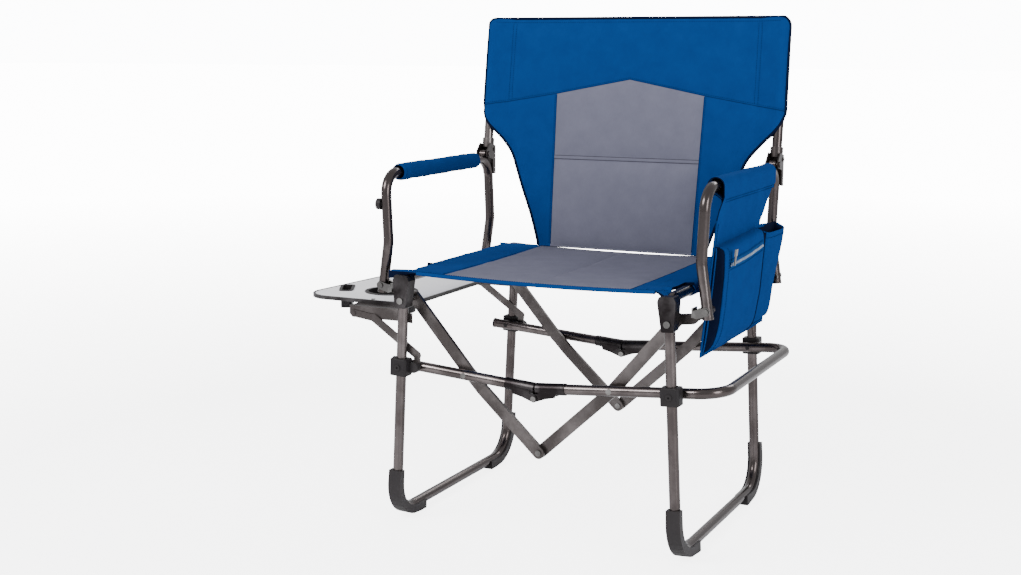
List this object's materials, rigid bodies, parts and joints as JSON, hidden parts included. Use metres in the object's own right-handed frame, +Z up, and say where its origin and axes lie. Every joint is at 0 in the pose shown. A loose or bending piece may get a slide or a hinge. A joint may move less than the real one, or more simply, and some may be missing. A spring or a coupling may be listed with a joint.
{
  "type": "folding director chair",
  "caption": "Folding director chair on two tubular side frames joined by V braces and knuckle stretchers, with cloth seat, back, arm pockets and a drop-down side table.",
  "frame": {"origin": "middle of the whole outline seen from above, on the floor", "axes": "+Z up, +Y towards the back of the chair, +X towards the pocket side, away from the side table"},
  "size_m": [0.8556, 0.5058, 0.9312],
  "materials": {
    "bar": "charcoal powder coat on flat steel bar",
    "black_plastic": "moulded black nylon",
    "blue_cloth": "blue coated oxford weave",
    "bright_steel": "zinc plated steel",
    "dark_steel": "black coated steel",
    "grey_cloth": "grey oxford weave",
    "navy_cloth": "navy webbing and gusset cloth",
    "table_board": "light grey laminate board",
    "table_edge": "grey aluminium rim",
    "tube": "charcoal gloss powder coat on steel tube"
  },
  "bodies": {
    "left_frame": {"leg_loop_left": "tube", "seat_rail_left": "tube", "corner_bracket_front_left": "dark_steel", "corner_bracket_rear_left": "dark_steel", "feet_left": "black_plastic", "brace_pivots_left": "bright_steel", "table_lugs": "bar"},
    "left_braces": {"brace_front_left": "bar", "brace_rear_left": "bar", "brace_fittings_left": "bright_steel"},
    "left_collars": {"collar_front_left": "black_plastic", "collar_rear_left": "black_plastic"},
    "left_back": {"back_post_left": "tube", "back_hinge_left": "dark_steel"},
    "right_frame": {"leg_loop_right": "tube", "seat_rail_right": "tube", "corner_bracket_front_right": "dark_steel", "corner_bracket_rear_right": "dark_steel", "feet_right": "black_plastic", "brace_pivots_right": "bright_steel"},
    "right_braces": {"brace_front_right": "bar", "brace_rear_right": "bar", "brace_fittings_right": "bright_steel"},
    "right_collars": {"collar_front_right": "black_plastic", "collar_rear_right": "black_plastic"},
    "right_back": {"back_post_right": "tube", "back_hinge_right": "dark_steel"},
    "left_stretchers": {"stretcher_front_left": "tube", "stretcher_rear_left": "tube", "knuckles_left": "dark_steel", "knuckle_pins": "bright_steel", "stretcher_caps_left": "black_plastic", "stretcher_rivets_left": "bright_steel"},
    "right_stretchers": {"stretcher_loop_right": "tube", "knuckles_right": "dark_steel", "stretcher_rivets_right": "bright_steel"},
    "left_arm": {"arm_loop_left": "tube", "armrest_pad_left": "blue_cloth", "arm_knob_left": "black_plastic"},
    "right_arm": {"arm_loop_right": "tube", "armrest_cover_right": "blue_cloth", "pocket_panel_right": "blue_cloth", "zip_pocket_right": "blue_cloth", "bottle_pocket_right": "blue_cloth"},
    "zip_pull": {"zip_pull_right": "bright_steel"},
    "back_wing_left": {"back_wing_left": "blue_cloth"},
    "back_wing_right": {"back_wing_right": "blue_cloth"},
    "back_centre": {"back_centre": "grey_cloth", "carry_strap": "navy_cloth"},
    "seat_left": {"seat_left": "blue_cloth"},
    "seat_right": {"seat_right": "blue_cloth"},
    "table": {"table_top": "table_board", "table_rim": "table_edge", "cup_holder": "black_plastic", "phone_slot": "black_plastic", "table_brackets": "bar", "table_screws": "bright_steel"},
    "table_braces": {"table_brace_front": "bar", "table_brace_rear": "bar"}
  },
  "joints": [
    {"name": "frame_fold", "type": "hinge", "parent": "left_frame", "child": "left_braces", "pos_m": [-0.18013, -0.00423, 0.42], "axis": [0, 1, 0], "range_deg": [0, 39.69]},
    {"name": "left_collar_slide", "type": "slide", "parent": "left_frame", "child": "left_collars", "axis": [-0.0495, 0, -0.9988], "range_m": [0, 0.17032]},
    {"name": "left_stretcher_turn", "type": "hinge", "parent": "left_collars", "child": "left_stretchers", "pos_m": [-0.18625, -0.00423, 0.2965], "axis": [0, -1, 0], "range_deg": [0, 86.02]},
    {"name": "knuckle_turn", "type": "hinge", "parent": "left_stretchers", "child": "right_stretchers", "pos_m": [0.07504, -0.00423, 0.26047], "axis": [0, 1, 0], "range_deg": [0, 176.15]},
    {"name": "right_collar_turn", "type": "hinge", "parent": "right_stretchers", "child": "right_collars", "pos_m": [0.33633, -0.00423, 0.2965], "axis": [0, -1, 0], "range_deg": [0, 86.02]},
    {"name": "right_frame_slide", "type": "slide", "parent": "right_collars", "child": "right_frame", "axis": [-0.0495, 0, 0.9988], "range_m": [0, 0.17032]},
    {"name": "right_brace_turn", "type": "hinge", "parent": "right_frame", "child": "right_braces", "pos_m": [0.33021, -0.00423, 0.42], "axis": [0, -1, 0], "range_deg": [0, 39.74]},
    {"name": "left_arm_swing", "type": "hinge", "parent": "left_braces", "child": "left_arm", "pos_m": [-0.23713, -0.00423, 0.441], "axis": [0, -1, 0], "range_deg": [0, 207.66]},
    {"name": "right_arm_swing", "type": "hinge", "parent": "right_braces", "child": "right_arm", "pos_m": [0.38721, -0.00423, 0.441], "axis": [0, 1, 0], "range_deg": [0, 207.66], "deforming": ["pocket_panel_right", "zip_pocket_right", "bottle_pocket_right"]},
    {"name": "left_back_fold", "type": "hinge", "parent": "left_arm", "child": "left_back", "pos_m": [-0.22996, 0.18427, 0.655], "axis": [1, 0, 0], "range_deg": [0, 97.05]},
    {"name": "right_back_fold", "type": "hinge", "parent": "right_arm", "child": "right_back", "pos_m": [0.38004, 0.18427, 0.655], "axis": [1, 0, 0], "range_deg": [0, 97.05]},
    {"name": "seat_left_fold", "type": "hinge", "parent": "left_frame", "child": "seat_left", "pos_m": [-0.17807, -0.00423, 0.46143], "axis": [0, 1, 0], "range_deg": [0, 83.64], "deforming": ["seat_left"]},
    {"name": "seat_right_fold", "type": "hinge", "parent": "right_frame", "child": "seat_right", "pos_m": [0.32815, -0.00423, 0.46143], "axis": [0, -1, 0], "range_deg": [0, 83.64], "deforming": ["seat_right"]},
    {"name": "table_fold", "type": "hinge", "parent": "left_frame", "child": "table", "pos_m": [-0.19096, -0.00423, 0.385], "axis": [0, -1, 0], "range_deg": [0, 83.37]},
    {"name": "table_brace_turn", "type": "hinge", "parent": "left_collars", "child": "table_braces", "pos_m": [-0.16028, -0.00423, 0.29521], "axis": [0, 1, 0], "range_deg": [0, 43.89]},
    {"name": "wing_left_fold", "type": "hinge", "parent": "left_back", "child": "back_wing_left", "pos_m": [-0.22996, 0.20209, 0.6525], "axis": [0, -0.1392, -0.9903], "range_deg": [0, 98.81], "deforming": ["back_wing_left"]},
    {"name": "wing_right_fold", "type": "hinge", "parent": "right_back", "child": "back_wing_right", "pos_m": [0.38004, 0.20209, 0.6525], "axis": [0, 0.1392, 0.9903], "range_deg": [0, 98.81], "deforming": ["back_wing_right"]},
    {"name": "back_centre_fold", "type": "hinge", "parent": "back_wing_left", "child": "back_centre", "pos_m": [0.04004, 0.20209, 0.6525], "axis": [0, -0.1392, -0.9903], "range_deg": [0, 71.3], "deforming": ["back_centre", "carry_strap"]},
    {"name": "zip_slide", "type": "slide", "parent": "right_arm", "child": "zip_pull", "axis": [0, 1, 0], "range_m": [0, 0.17]}
  ],
  "couplings": [
    {"joint": "left_collar_slide", "follows": "frame_fold", "m_per_rad": 0.24557},
    {"joint": "left_stretcher_turn", "follows": "frame_fold", "ratio": 2.1659},
    {"joint": "knuckle_turn", "follows": "frame_fold", "ratio": 4.4366},
    {"joint": "right_collar_turn", "follows": "frame_fold", "ratio": 2.1659},
    {"joint": "right_frame_slide", "follows": "frame_fold", "m_per_rad": 0.24557},
    {"joint": "right_brace_turn", "follows": "frame_fold", "ratio": 0.99999},
    {"joint": "left_arm_swing", "follows": "frame_fold", "ratio": 5.2305},
    {"joint": "right_arm_swing", "follows": "frame_fold", "ratio": 5.2305},
    {"joint": "left_back_fold", "follows": "frame_fold", "ratio": 2.4438},
    {"joint": "right_back_fold", "follows": "frame_fold", "ratio": 2.4438},
    {"joint": "seat_left_fold", "follows": "frame_fold", "ratio": 2.1058},
    {"joint": "seat_right_fold", "follows": "frame_fold", "ratio": 2.1058},
    {"joint": "table_fold", "follows": "frame_fold", "ratio": 2.099},
    {"joint": "table_brace_turn", "follows": "frame_fold", "ratio": 1.1045},
    {"joint": "wing_left_fold", "follows": "frame_fold", "ratio": 2.488},
    {"joint": "wing_right_fold", "follows": "frame_fold", "ratio": 2.488},
    {"joint": "back_centre_fold", "follows": "frame_fold", "ratio": 1.7951}
  ]
}
